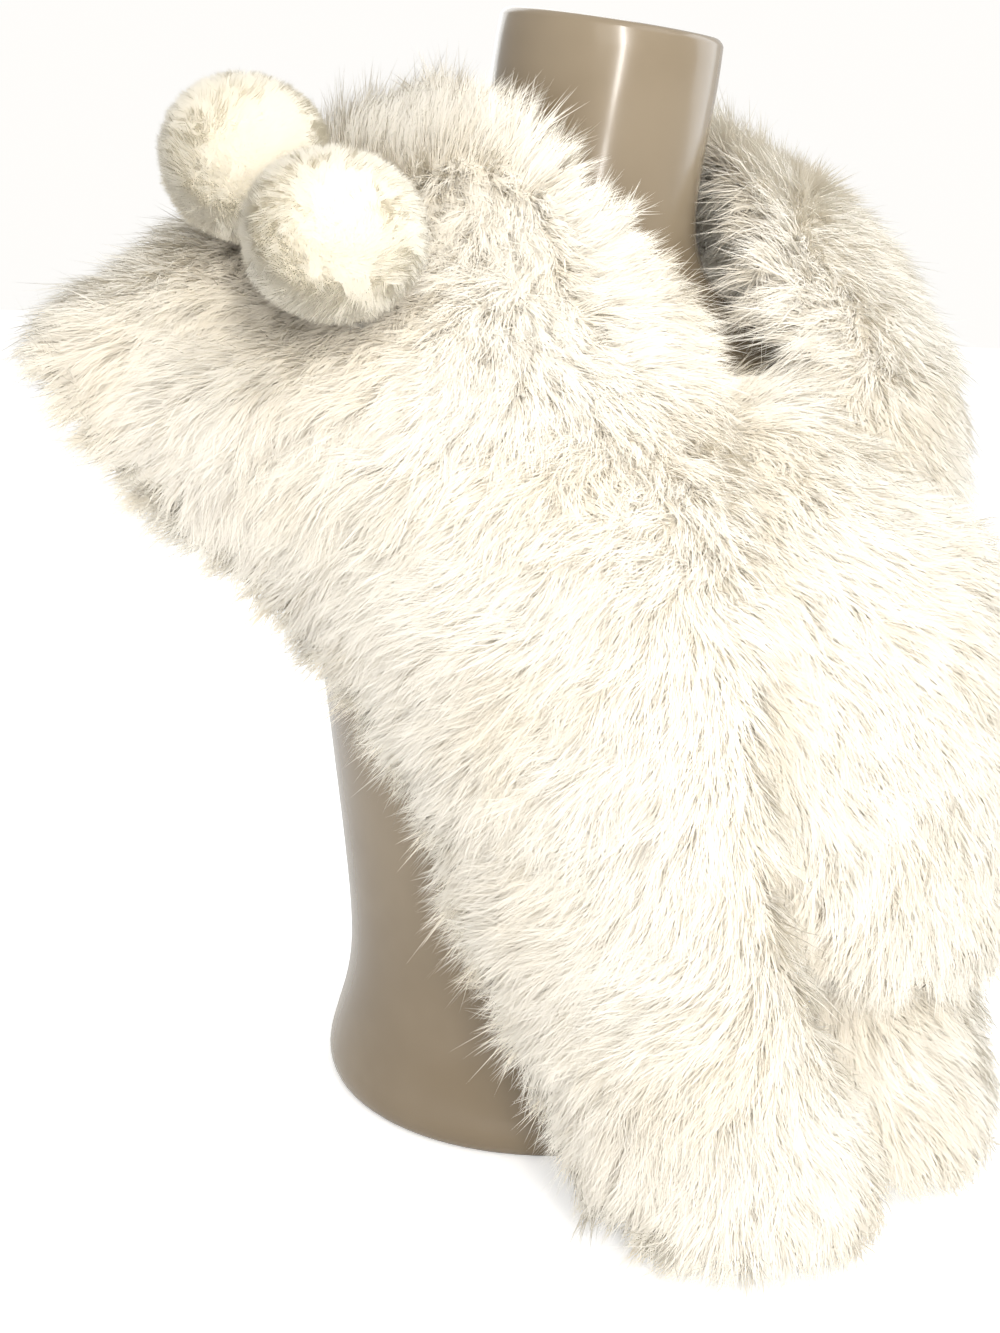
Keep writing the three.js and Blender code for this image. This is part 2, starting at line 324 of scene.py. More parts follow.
class StageSettings(bpy.types.PropertyGroup):
    """Floor, lights and camera."""

    floor_colour: colour("Floor", "Colour of the floor", (0.97, 0.97, 0.97))
    floor_glow: share("Floor glow", "How much whiter the floor looks than it is lit", 0.48)
    sky: share("Fill light", "Strength of the light from all round", 0.69, top=10.0)
    backdrop: share("Backdrop", "Brightness of the empty backdrop behind the object", 1.0, top=10.0)
    key_power: power("Key light", "Power of the main light", 4.4)
    fill_power: power("Fill lamp", "Power of the warm light by the camera", 4.5)
    strip_power: power("Strip light", "Power of the narrow light that the neck mirrors", 12.0)
    side_power: power("Side light", "Power of the tall side light", 6.0)
    back_power: power("Back light", "Power of the light behind", 7.0)
    camera_place: FloatVectorProperty(
        name="Camera", description="Where the camera stands", default=(-0.5153, -0.5999, 0.414),
        subtype="TRANSLATION", unit="LENGTH")
    camera_yaw: angle("Yaw", "Turn of the camera about the vertical", -37.6)
    camera_pitch: angle("Pitch", "Tilt of the camera, down is negative", -13.5)
    camera_roll: angle("Roll", "Roll of the camera about its own axis", 2.4)
    lens: FloatProperty(
        name="Lens", description="Focal length on a 36 mm sensor", default=40.1, unit="CAMERA")


# Shapes

def unit(vectors):
    """The vectors at length one."""
    return vectors / np.maximum(np.linalg.norm(vectors, axis=-1, keepdims=True), 1e-9)


def dot(a, b):
    """Dot product of each pair of rows, as a column."""
    return np.sum(a * b, axis=-1, keepdims=True)


def smooth_step(low, high, values):
    """From 0 at low to 1 at high, with soft ends."""
    x = np.clip((values - low) / (high - low), 0.0, 1.0)
    return x * x * (3.0 - 2.0 * x)


def drift(points, wave, seed):
    """A smooth uneven field from about -1 to 1, whose swells are about one wave apart."""
    rng = np.random.default_rng(seed)
    ways = unit(rng.normal(size=(DRIFT_WAVES, 3)))
    ways = ways * rng.uniform(*DRIFT_SPREAD, size=(DRIFT_WAVES, 1)) * 2.0 * math.pi / wave
    starts = rng.uniform(0.0, 2.0 * math.pi, size=DRIFT_WAVES)
    return np.sin(points @ ways.T + starts).sum(axis=1, keepdims=True) / DRIFT_SCALE


def turned(vectors, axes, angles):
    """Vectors turned about unit axes that they stand square to."""
    return vectors * np.cos(angles) + np.cross(axes, vectors) * np.sin(angles)


class Skin(NamedTuple):
    """An even surface: points, triangles and the points' normals."""

    points: np.ndarray
    triangles: np.ndarray
    normals: np.ndarray


def even_skin(nodes, voxel, smoothing):
    """The nodes' solids as one even, softly smoothed surface."""
    joined = bmesh.new()
    for node in nodes:
        joined.from_mesh(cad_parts[node].data)
    mesh = bpy.data.meshes.new("skin_work")
    joined.to_mesh(mesh)
    joined.free()
    work = bpy.data.objects.new("skin_work", mesh)
    bpy.context.scene.collection.objects.link(work)
    work.modifiers.new("weld", "WELD")
    even = work.modifiers.new("even", "REMESH")
    even.mode = "VOXEL"
    even.voxel_size = voxel
    soft = work.modifiers.new("soft", "SMOOTH")
    soft.iterations = smoothing
    shaped = work.evaluated_get(bpy.context.evaluated_depsgraph_get())
    skin = bpy.data.meshes.new_from_object(shaped)
    bpy.data.objects.remove(work)
    skin.calc_loop_triangles()
    points = np.empty(len(skin.vertices) * 3)
    skin.vertices.foreach_get("co", points)
    normals = np.empty(len(skin.vertices) * 3)
    skin.vertices.foreach_get("normal", normals)
    triangles = np.empty(len(skin.loop_triangles) * 3, dtype=np.int64)
    skin.loop_triangles.foreach_get("vertices", triangles)
    bpy.data.meshes.remove(skin)
    return Skin(points.reshape(-1, 3), triangles.reshape(-1, 3), normals.reshape(-1, 3))


def solids_tree():
    """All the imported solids, to look from a point whether something lies close before it."""
    joined = bmesh.new()
    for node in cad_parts.values():
        joined.from_mesh(node.data)
    tree = BVHTree.FromBMesh(joined)
    joined.free()
    return tree


def openness(skin, reach):
    """For each point of a skin the share of the ways out of it that are free for that reach."""
    tree = solids_tree()
    across = unit(np.cross(skin.normals, LOOK_AXIS))
    ways = [skin.normals]
    for turn in np.arange(LOOKS) * 2.0 * math.pi / LOOKS:
        ways.append(unit(skin.normals + LOOK_SLANT * turned(across, skin.normals, turn)))
    starts = skin.points + skin.normals * LOOK_START
    free = np.zeros(len(starts))
    for way in ways:
        free += [tree.ray_cast(start, to, reach)[0] is None for start, to in zip(starts, way)]
    return (free / len(ways))[:, None]


def softened(values, triangles, times):
    """The values of a skin's points, evened out with their neighbours' that many times."""
    shares = np.bincount(triangles.ravel(), minlength=len(values))
    for _ in range(times):
        means = np.repeat(values[triangles].mean(axis=1), 3)
        sums = np.bincount(triangles.ravel(), weights=means, minlength=len(values))
        values = sums / np.maximum(shares, 1)
    return values


def shade_lift_of(skin, reach):
    """From 1 where a skin lies in the open to 0 where it lies deep in a crease, which sets how much
    painted crease shade the hair there takes.
    """
    shade_lifts = smooth_step(*CREASE_OPENNESS, openness(skin, reach))[:, 0]
    return softened(shade_lifts, skin.triangles, CREASE_SOFTENING)


def seen(skin):
    """For each point of a skin the share of the looks from all round and above that reach it."""
    tree = solids_tree()
    starts = skin.points + skin.normals * LOOK_START
    reached = np.zeros(len(starts))
    for tilt in SIGHT_TILTS:
        for turn in np.arange(SIGHT_TURNS) * 2.0 * math.pi / SIGHT_TURNS:
            way = (math.cos(turn) * math.cos(tilt), math.sin(turn) * math.cos(tilt), math.sin(tilt))
            for index in np.flatnonzero(skin.normals @ np.array(way) > 0.0):
                reached[index] += tree.ray_cast(starts[index], way)[0] is None
    return reached / (len(SIGHT_TILTS) * SIGHT_TURNS)


def scattered(skin, count, weights, rng):
    """Random places on a skin, with their normals. weights says how thickly each point grows hair."""
    corners = skin.points[skin.triangles]
    sides = corners[:, 1:] - corners[:, :1]
    areas = np.linalg.norm(np.cross(sides[:, 0], sides[:, 1]), axis=1)
    chances = areas * weights[skin.triangles].mean(axis=1)
    picked = rng.choice(len(chances), size=count, p=chances / chances.sum())
    a, b = rng.uniform(size=(2, count, 1))
    over = a + b > 1.0
    a, b = np.where(over, 1.0 - a, a), np.where(over, 1.0 - b, b)
    mix = np.concatenate([1.0 - a - b, a, b], axis=1)[:, :, None]
    places = (skin.points[skin.triangles[picked]] * mix).sum(axis=1)
    normals = unit((skin.normals[skin.triangles[picked]] * mix).sum(axis=1))
    return places, normals


def nearest(points, targets):
    """For each point the index of the nearest target."""
    tree = kdtree.KDTree(len(targets))
    for index, target in enumerate(targets):
        tree.insert(target, index)
    tree.balance()
    return np.array([tree.find(point)[1] for point in points])


def mesh_piece(name, points, triangles, material):
    """A smooth mesh object from arrays, with its material."""
    mesh = bpy.data.meshes.new(name)
    mesh.from_pydata(points, [], triangles)
    mesh.shade_smooth()
    mesh.materials.append(material)
    piece = bpy.data.objects.new(name, mesh)
    bpy.context.scene.collection.objects.link(piece)
    return piece


def hair_piece(name, spines, sides, normals, tints, shade_lifts, material):
    """Tapered ribbons, one along each spine, joined into one object.

    spines holds each hair's points from root to tip and sides half its width at the root. A hair's lift
    is
    1 in the open and 0 deep in a crease, and sets how much painted crease shade its tint takes. Fur
    lets light through, so long hair casts no shadow, and the underfur and the pelt below it do.
    """
    count, levels, _ = spines.shape
    along = np.linspace(0.0, 1.0, levels)
    taper = (1.0 - TAPER * along[:-1])[None, :, None]
    left = spines[:, :-1] - sides[:, None] * taper
    right = spines[:, :-1] + sides[:, None] * taper
    pairs = np.stack([left, right], axis=2).reshape(count, -1, 3)
    points = np.concatenate([pairs, spines[:, -1:]], axis=1)
    per_hair = points.shape[1]
    faces = []
    for level in range(levels - 2):
        a = 2 * level
        faces += [(a, a + 1, a + 3), (a, a + 3, a + 2)]
    faces.append((per_hair - 3, per_hair - 2, per_hair - 1))
    triangles = (np.arange(count)[:, None, None] * per_hair + np.array(faces)[None]).reshape(-1, 3)
    piece = mesh_piece(name, points.reshape(-1, 3), triangles, material)
    heights = np.concatenate([np.repeat(along[:-1], 2), along[-1:]])
    # v climbs from root to tip and sinks with a hair's lift, where the tint paints crease shade
    rows = 0.5 * (np.tile(heights, count) + np.repeat(shade_lifts, per_hair))
    places = np.stack([np.repeat(tints, per_hair), rows], axis=1)
    piece.data.uv_layers.new(name=HAIR_MAP)
    piece.data.uv_layers[HAIR_MAP].data.foreach_set("uv", places[triangles.ravel()].ravel())
    piece.data.normals_split_custom_set_from_vertices(np.repeat(normals, per_hair, axis=0))
    piece.visible_shadow = name.endswith("_underfur")
    return piece


class Growth(NamedTuple):
    """How one layer of hair grows."""

    length: float
    width: float
    pull: float  # how far tips draw to the middle of their lock
    root_lean: float
    tip_lean: float
    levels: int  # points along a hair, its tip among them
    stray: float  # share of its length by which a tip strays


class Locks(NamedTuple):
    """The locks that the hair gathers in."""

    places: np.ndarray
    normals: np.ndarray
    ways: np.ndarray  # where the hair of a lock points along the surface
    eases: np.ndarray  # how far it may lean over
    scales: np.ndarray  # its length beside the usual one
    tints: np.ndarray
    shade_lifts: np.ndarray  # how much painted crease shade the hair takes: 1 in the open, none; 0 deep in a crease, the most


def combed(places, normals, seed, rng):
    """The way the hair lies at each place, along the surface, and how far it leans over."""
    guides = np.array([place for place, _ in COMB])
    ways = unit(np.array([way for _, way in COMB]))
    near = 1.0 / (np.linalg.norm(places[:, None] - guides[None], axis=2) + GUIDE_CORE) ** GUIDE_FALLOFF
    sweep = near @ ways / near.sum(axis=1, keepdims=True)
    flow = sweep - normals * dot(normals, sweep)
    strength = np.linalg.norm(flow, axis=1, keepdims=True)
    ease = LEAST_EASE + (1.0 - LEAST_EASE) * smooth_step(*EASE_FLOW, strength)
    swirl = sum(turn * drift(places, wave, seed + step) for turn, wave, step in SWIRLS)
    swirl += rng.normal(scale=SWIRL_NOISE, size=(len(places), 1))
    against = np.clip(-dot(normals, sweep), 0.0, 1.0)
    return turned(unit(flow), normals, swirl), ease * (1.0 - AGAINST_EASE * against)


def grown(places, normals, locks, growth, rng):
    """Spines, half widths and shading normals of a layer of hair, and each hair's lock."""
    count = len(places)
    own = nearest(places, locks.places)
    normals = unit(normals + LOCK_NORMAL * locks.normals[own])
    way = locks.ways[own] + rng.normal(scale=WAY_NOISE, size=(count, 3))
    way = unit(way - normals * dot(normals, way))
    along = np.linspace(0.0, 1.0, growth.levels)[None, :, None]
    lean = growth.root_lean + (growth.tip_lean - growth.root_lean) * along
    lean = lean * locks.eases[own][:, None]
    middle = 0.5 * (lean[:, 1:] + lean[:, :-1])
    steps = np.diff(along, axis=1)
    start = np.zeros((count, 1, 1))
    rise = np.concatenate([start, np.cumsum(np.cos(middle) * steps, axis=1)], axis=1)
    run = np.concatenate([start, np.cumsum(np.sin(middle) * steps, axis=1)], axis=1)
    lengths = growth.length * locks.scales[own] * rng.uniform(*HAIR_LENGTHS, size=(count, 1))
    spines = places[:, None] + lengths[:, None] * (rise * normals[:, None] + run * way[:, None])
    inward = locks.places[own] - places
    inward -= normals * dot(normals, inward)
    spines += growth.pull * along ** PULL_CURVE * inward[:, None]
    strays = rng.normal(scale=growth.stray, size=(count, 3)) * lengths
    spines += along ** STRAY_CURVE * strays[:, None]
    spines[:, :, 2] = np.maximum(spines[:, :, 2], FLOOR_CLEARANCE)
    direction = unit(spines[:, -1] - spines[:, 0])
    side = unit(np.cross(direction, normals))
    side = turned(side, direction, rng.uniform(-HAIR_ROLL, HAIR_ROLL, size=(count, 1)))
    face = np.cross(side, direction)
    face *= np.where(dot(face, normals) < 0.0, -1.0, 1.0)
    shading = unit(FLUFF * normals + (1.0 - FLUFF) * face)
    widths = growth.width * rng.uniform(*HAIR_WIDTHS, size=(count, 1))
    return spines, side * widths * 0.5, shading, own


# Materials

def new_material(name):
    """An empty node material, with its shader."""
    material = bpy.data.materials.new(name)
    material.use_nodes = True
    shader = material.node_tree.nodes["Principled BSDF"]
    return material, material.node_tree, shader


def group_of(name, inputs, outputs):
    """A new shader node group with its sockets, and its two end nodes."""
    group = bpy.data.node_groups.new(name, "ShaderNodeTree")
    for label, kind, default in inputs:
        socket = group.interface.new_socket(name=label, in_out="INPUT", socket_type=kind)
        socket.default_value = default
    for label, kind in outputs:
        group.interface.new_socket(name=label, in_out="OUTPUT", socket_type=kind)
    start = group.nodes.new("NodeGroupInput")
    end = group.nodes.new("NodeGroupOutput")
    return group, start, end


def hair_tint_group():
    """Colour along a hair, from its root to its tip, and from lock to lock, with painted shade deep in
    creases.
    """
    group, start, end = group_of(
        "hair_tint",
        [("Tip", "NodeSocketColor", (1, 1, 1, 1)), ("Root", "NodeSocketColor", (1, 1, 1, 1)),
         ("Cream", "NodeSocketColor", (1, 1, 1, 1)), ("Crease", "NodeSocketColor", (1, 1, 1, 1))],
        [("Color", "NodeSocketColor")])
    nodes, links = group.nodes, group.links
    place = nodes.new("ShaderNodeUVMap")
    place.uv_map = HAIR_MAP
    split = nodes.new("ShaderNodeSeparateXYZ")
    links.new(place.outputs["UV"], split.inputs["Vector"])
    creamy = nodes.new("ShaderNodeMapRange")
    creamy.interpolation_type = "SMOOTHSTEP"
    creamy.inputs["From Min"].default_value = 0.35
    creamy.inputs["From Max"].default_value = 0.95
    links.new(split.outputs["X"], creamy.inputs["Value"])
    tip = nodes.new("ShaderNodeMix")
    tip.data_type = "RGBA"
    links.new(creamy.outputs["Result"], tip.inputs["Factor"])
    links.new(start.outputs["Tip"], tip.inputs["A"])
    links.new(start.outputs["Cream"], tip.inputs["B"])
    rising = nodes.new("ShaderNodeMapRange")
    rising.interpolation_type = "SMOOTHSTEP"
    rising.inputs["From Min"].default_value = 0.5
    rising.inputs["From Max"].default_value = 0.85
    links.new(split.outputs["Y"], rising.inputs["Value"])
    whole = nodes.new("ShaderNodeMix")
    whole.data_type = "RGBA"
    links.new(rising.outputs["Result"], whole.inputs["Factor"])
    links.new(start.outputs["Root"], whole.inputs["A"])
    links.new(tip.outputs["Result"], whole.inputs["B"])
    # painted shade: the lower a hair's v, the more of the crease shade colour is mixed in
    crease_shade_factor = nodes.new("ShaderNodeMapRange")
    crease_shade_factor.inputs["From Max"].default_value = 0.55
    links.new(split.outputs["Y"], crease_shade_factor.inputs["Value"])
    creased = nodes.new("ShaderNodeMix")
    creased.data_type = "RGBA"
    links.new(crease_shade_factor.outputs["Result"], creased.inputs["Factor"])
    links.new(start.outputs["Crease"], creased.inputs["A"])
    links.new(whole.outputs["Result"], creased.inputs["B"])
    links.new(creased.outputs["Result"], end.inputs["Color"])
    return group


def mottle_group():
    """Two colours in soft clouds, with fine grain over them, and the grain's height."""
    group, start, end = group_of(
        "soft_mottle",
        [("Dark", "NodeSocketColor", (0, 0, 0, 1)), ("Pale", "NodeSocketColor", (1, 1, 1, 1)),
         ("Cloud Scale", "NodeSocketFloat", 10.0), ("Grain Scale", "NodeSocketFloat", 200.0)],
        [("Color", "NodeSocketColor"), ("Clouds", "NodeSocketFloat"), ("Grain", "NodeSocketFloat")])
    nodes, links = group.nodes, group.links
    place = nodes.new("ShaderNodeTexCoord")
    clouds = nodes.new("ShaderNodeTexNoise")
    clouds.inputs["Detail"].default_value = 4.0
    grain = nodes.new("ShaderNodeTexNoise")
    grain.inputs["Detail"].default_value = 6.0
    grain.inputs["Distortion"].default_value = 0.6
    for texture, label in ((clouds, "Cloud Scale"), (grain, "Grain Scale")):
        links.new(place.outputs["Object"], texture.inputs["Vector"])
        links.new(start.outputs[label], texture.inputs["Scale"])
    spread = nodes.new("ShaderNodeMapRange")
    spread.interpolation_type = "SMOOTHSTEP"
    spread.inputs["From Min"].default_value = 0.35
    spread.inputs["From Max"].default_value = 0.65
    links.new(clouds.outputs["Fac"], spread.inputs["Value"])
    both = nodes.new("ShaderNodeMix")
    both.data_type = "RGBA"
    links.new(spread.outputs["Result"], both.inputs["Factor"])
    links.new(start.outputs["Dark"], both.inputs["A"])
    links.new(start.outputs["Pale"], both.inputs["B"])
    links.new(both.outputs["Result"], end.inputs["Color"])
    links.new(spread.outputs["Result"], end.inputs["Clouds"])
    links.new(grain.outputs["Fac"], end.inputs["Grain"])
    return group


def node_group(name, maker):
    """The named node group, made at its first use."""
    return bpy.data.node_groups.get(name) or maker()


def place_group(tree, group, values):
    """A group in a material, with its own values."""
    node = tree.nodes.new("ShaderNodeGroup")
    node.node_tree = group
    for label, value in values.items():
        node.inputs[label].default_value = value
    return node


def solid(rgb):
    """A colour with full alpha."""
    return (*rgb, 1.0)


def hair_material(name, settings):
    """Soft hair, paler towards its tips, with painted shade darkening it in creases."""
    material, tree, shader = new_material(name)
    tint = place_group(
        tree, node_group("hair_tint", hair_tint_group),
        {"Tip": solid(settings.tip_colour), "Root": solid(settings.root_colour),
         "Cream": solid(settings.cream_colour), "Crease": solid(settings.crease_shade_colour)})
    tree.links.new(tint.outputs["Color"], shader.inputs["Base Color"])
    shader.inputs["Roughness"].default_value = 0.6
    shader.inputs["Specular IOR Level"].default_value = 0.25
    shader.inputs["Sheen Weight"].default_value = 0.15
    shader.inputs["Sheen Roughness"].default_value = 0.4
    return material


def pelt_material(name, dark, pale):
    """The dense wool that shows between the locks and on the inner face."""
    material, tree, shader = new_material(name)
    mottle = place_group(
        tree, node_group("soft_mottle", mottle_group),
        {"Dark": solid(dark), "Pale": solid(pale), "Cloud Scale": 28.0, "Grain Scale": 420.0})
    tree.links.new(mottle.outputs["Color"], shader.inputs["Base Color"])
    bump = tree.nodes.new("ShaderNodeBump")
    bump.inputs["Strength"].default_value = 0.8
    bump.inputs["Distance"].default_value = 0.003
    tree.links.new(mottle.outputs["Grain"], bump.inputs["Height"])
    tree.links.new(bump.outputs["Normal"], shader.inputs["Normal"])
    shader.inputs["Roughness"].default_value = 0.95
    shader.inputs["Specular IOR Level"].default_value = 0.1
    shader.inputs["Sheen Weight"].default_value = 0.3
    return material


def plastic_material(settings):
    """Glossy moulded plastic, a little cloudy, with a faint orange-peel surface; its paler clouds are
    painted reflection blotches.
    """
    material, tree, shader = new_material("taupe_plastic")
    # painted reflection: clouds of the pale colour over the plastic's own colour
    mottle = place_group(
        tree, node_group("soft_mottle", mottle_group),
        {"Dark": solid(settings.colour), "Pale": solid(settings.reflection_cloud_colour),
         "Cloud Scale": 7.0, "Grain Scale": 60.0})
    tree.links.new(mottle.outputs["Color"], shader.inputs["Base Color"])
    dull = tree.nodes.new("ShaderNodeMapRange")
    dull.inputs["To Min"].default_value = settings.roughness * 0.8
    dull.inputs["To Max"].default_value = settings.roughness * 1.3
    tree.links.new(mottle.outputs["Grain"], dull.inputs["Value"])
    tree.links.new(dull.outputs["Result"], shader.inputs["Roughness"])
    bump = tree.nodes.new("ShaderNodeBump")
    bump.inputs["Strength"].default_value = 0.05
    bump.inputs["Distance"].default_value = 0.001
    tree.links.new(mottle.outputs["Grain"], bump.inputs["Height"])
    tree.links.new(bump.outputs["Normal"], shader.inputs["Normal"])
    shader.inputs["Coat Weight"].default_value = settings.coat
    shader.inputs["Coat Roughness"].default_value = 0.12
    return material


def floor_material(settings):
    """A plain pale floor with a barely uneven tone."""
    material, tree, shader = new_material("pale_floor")
    pale = tuple(settings.floor_colour)
    mottle = place_group(
        tree, node_group("soft_mottle", mottle_group),
        {"Dark": solid(tone * 0.985 for tone in pale), "Pale": solid(pale),
         "Cloud Scale": 1.5, "Grain Scale": 40.0})
    tree.links.new(mottle.outputs["Color"], shader.inputs["Base Color"])
    shader.inputs["Roughness"].default_value = 0.9
    shader.inputs["Emission Color"].default_value = solid(pale)
    path = tree.nodes.new("ShaderNodeLightPath")
    glow = tree.nodes.new("ShaderNodeMath")
    glow.operation = "MULTIPLY"
    glow.inputs[1].default_value = settings.floor_glow
    tree.links.new(path.outputs["Is Camera Ray"], glow.inputs[0])
    tree.links.new(glow.outputs["Value"], shader.inputs["Emission Strength"])
    return material


# Pieces

def build_form(settings):
    """The torso form: the CAD solid's own form with rounder facets and a glossy finish."""
    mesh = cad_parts["torso_form"].data.copy()
    work = bmesh.new()
    work.from_mesh(mesh)
    bmesh.ops.remove_doubles(work, verts=work.verts, dist=FORM_WELD)
    bmesh.ops.join_triangles(
        work, faces=work.faces,
        angle_face_threshold=FORM_FLAT_ANGLE, angle_shape_threshold=FORM_QUAD_ANGLE)
    crease = work.edges.layers.float.new("crease_edge")
    for edge in work.edges:
        if edge.is_manifold and edge.calc_face_angle() > FORM_EDGE_ANGLE:
            edge[crease] = FORM_EDGE_CREASE
    work.to_mesh(mesh)
    work.free()
    mesh.materials.clear()
    mesh.materials.append(plastic_material(settings))
    mesh.shade_smooth()
    form = bpy.data.objects.new("glossy_form", mesh)
    bpy.context.scene.collection.objects.link(form)
    rounder = form.modifiers.new("rounder", "SUBSURF")
    rounder.levels = 1
    rounder.render_levels = 1
    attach(form, BODY)
    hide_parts("torso_form")
    return form


def stretch_of(points, nodes):
    """For each point the number of the node that it lies closest to."""
    ends = [np.array([vertex.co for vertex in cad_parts[node].data.vertices]) for node in nodes]
    owners = np.repeat(np.arange(len(nodes)), [len(each) for each in ends])
    return owners[nearest(points, np.concatenate(ends))]


def pelt_of(skin, free, settings, seed):
    """A skin sunk under the tips of its hair, and less so where it lies against something."""
    outer = smooth_step(*OUTER_OPENNESS, free)
    depth = settings.pelt_inner + (settings.pelt_outer - settings.pelt_inner) * outer
    depth += settings.lumps * outer * drift(skin.points, LUMP_WAVE, seed)
    return Skin(skin.points - skin.normals * depth, skin.triangles, skin.normals)


def cloth_locks(cloth, skin, pelt, free, thick, settings, seed, rng):
    """The locks of one cut of fur, shorter in narrow places and longer along the neck's edge."""
    number = int(cloth.flat[0] * cloth.flat[1] * LOCK_COVER / settings.lock_spacing ** 2)
    places, normals = scattered(pelt, number, thick, rng)
    ways, eases = combed(places, normals, seed + 2, rng)
    below = nearest(places, pelt.points)
    scales = NARROW_LENGTH + (1.0 - NARROW_LENGTH) * smooth_step(*NARROW_OPENNESS, free[below])
    to_edge = np.linalg.norm(places[:, None] - NECK_EDGE[None], axis=2).min(axis=1)[:, None]
    scales *= 1.0 + NECK_EXTRA * smooth_step(NECK_REACH, 0.0, to_edge)
    uneven = 1.0 + LENGTH_DRIFT * drift(places, LENGTH_WAVE, seed + 3)
    uneven += rng.normal(scale=LENGTH_NOISE, size=(number, 1))
    tints = TINT_MIDDLE + TINT_DRIFT * drift(places, TINT_WAVE, seed + 4)[:, 0]
    tints += rng.normal(scale=TINT_NOISE, size=number)
    # painted crease shade for each lock, from how open the skin under it lies
    shade_lifts = shade_lift_of(skin, PELT_CREASE_LOOK)[below]
    return Locks(places, normals, ways, eases, scales * np.clip(uneven, *LENGTH_ENDS), tints, shade_lifts)


def build_cloth(cloth, settings, materials, seed):
    """One cut of fur: its pelt and the hair that grows on each of its stretches."""
    rng = np.random.default_rng(seed)
    skin = even_skin(cloth.nodes, settings.voxel, PELT_SMOOTHING)
    free = openness(skin, PELT_LOOK)
    pelt = pelt_of(skin, free, settings, seed + 1)
    pelt_piece = mesh_piece(f"{cloth.name}_pelt", pelt.points, pelt.triangles, materials["pelt"])
    thick = HIDDEN_HAIR + smooth_step(*SIGHT_FOR_HAIR, seen(skin))
    locks = cloth_locks(cloth, skin, pelt, free, thick, settings, seed, rng)
    under = Growth(
        settings.under_length, settings.under_width, UNDER_PULL * settings.lock_pull,
        UNDER_ROOT_LEAN * settings.root_lean, UNDER_TIP_LEAN * settings.tip_lean,
        levels=2, stray=UNDER_STRAY)
    guard = Growth(
        settings.guard_length, settings.guard_width, settings.lock_pull,
        settings.root_lean, settings.tip_lean, levels=3, stray=GUARD_STRAY)
    stretches = stretch_of(pelt.points, cloth.nodes)
    hairs = []
    for number, (node, counts) in enumerate(zip(cloth.nodes, cloth.hairs)):
        here = thick * (stretches == number)
        for label, growth, count in zip(("underfur", "hair"), (under, guard), counts):
            places, normals = scattered(pelt, count, here, rng)
            spines, sides, shading, own = grown(places, normals, locks, growth, rng)
            tints = locks.tints[own] + rng.normal(scale=HAIR_TINT_NOISE, size=count)
            hairs.append(hair_piece(
                f"{node.removesuffix('_stretch')}_{label}", spines, sides, shading,
                np.clip(tints, *TINT_ENDS), locks.shade_lifts[own], materials["hair"]))
    for piece in (pelt_piece, *hairs):
        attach(piece, BODY)
    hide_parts(*cloth.nodes)


def pompom_locks(skin, core, even, settings, seed, rng):
    """The locks of one pompom, which lie this way and that in slow turns."""
    radius = np.linalg.norm(core.points - core.points.mean(axis=0), axis=1).mean()
    number = int(4.0 * math.pi * radius ** 2 / settings.lock_spacing ** 2)
    places, normals = scattered(core, number, even, rng)
    ways = np.concatenate([drift(places, POMPOM_WAY_WAVE, seed + turn) for turn in (3, 4, 5)], axis=1)
    ways = ways + rng.normal(scale=POMPOM_WAY_NOISE, size=(number, 3))
    ways = unit(ways - normals * dot(normals, ways))
    scales = 1.0 + rng.normal(scale=POMPOM_LENGTH_NOISE, size=(number, 1))
    tints = POMPOM_TINT_MIDDLE + POMPOM_TINT_DRIFT * drift(places, POMPOM_TINT_WAVE, seed + 2)[:, 0]
    # painted contact shade for each lock, where the pompom touches something
    shade_lifts = shade_lift_of(skin, POMPOM_CREASE_LOOK)[nearest(places, core.points)]
    return Locks(
        places, normals, ways, np.ones((number, 1)), np.clip(scales, *POMPOM_LENGTH_ENDS), tints, shade_lifts)


def build_pompom(node, settings, materials, seed):
    """One pompom: a stuffed core and short dense hair all round it."""
    rng = np.random.default_rng(seed)
    skin = even_skin([node], settings.voxel, POMPOM_SMOOTHING)
    core = Skin(skin.points - skin.normals * settings.depth, skin.triangles, skin.normals)
    core_piece = mesh_piece(f"{node}_core", core.points, core.triangles, materials["core"])
    even = np.ones(len(core.points))
    locks = pompom_locks(skin, core, even, settings, seed, rng)
    growth = Growth(
        settings.hair_length, settings.hair_width, POMPOM_PULL,
        POMPOM_ROOT_LEAN, POMPOM_TIP_LEAN, levels=2, stray=POMPOM_STRAY)
    places, normals = scattered(core, POMPOM_HAIRS, even, rng)
    spines, sides, shading, own = grown(places, normals, locks, growth, rng)
    tints = locks.tints[own] + rng.normal(scale=POMPOM_TINT_NOISE, size=POMPOM_HAIRS)
    hair = hair_piece(
        f"{node}_hair", spines, sides, shading, np.clip(tints, *TINT_ENDS), locks.shade_lifts[own],
        materials["hair"])
    for piece in (core_piece, hair):
        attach(piece, BODY)
    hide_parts(node)


def area_light(lamp, watts):
    """A soft rectangular light that looks at a point."""
    name = f"{lamp.name}_light"
    light = bpy.data.lights.new(name, "AREA")
    light.shape = "RECTANGLE"
    light.size, light.size_y = lamp.size
    light.energy = watts
    light.color = lamp.tint
    holder = bpy.data.objects.new(name, light)
    holder.location = lamp.place
    aim = Vector(lamp.target) - Vector(lamp.place)
    holder.rotation_euler = aim.to_track_quat("-Z", "Y").to_euler()
    bpy.context.scene.collection.objects.link(holder)


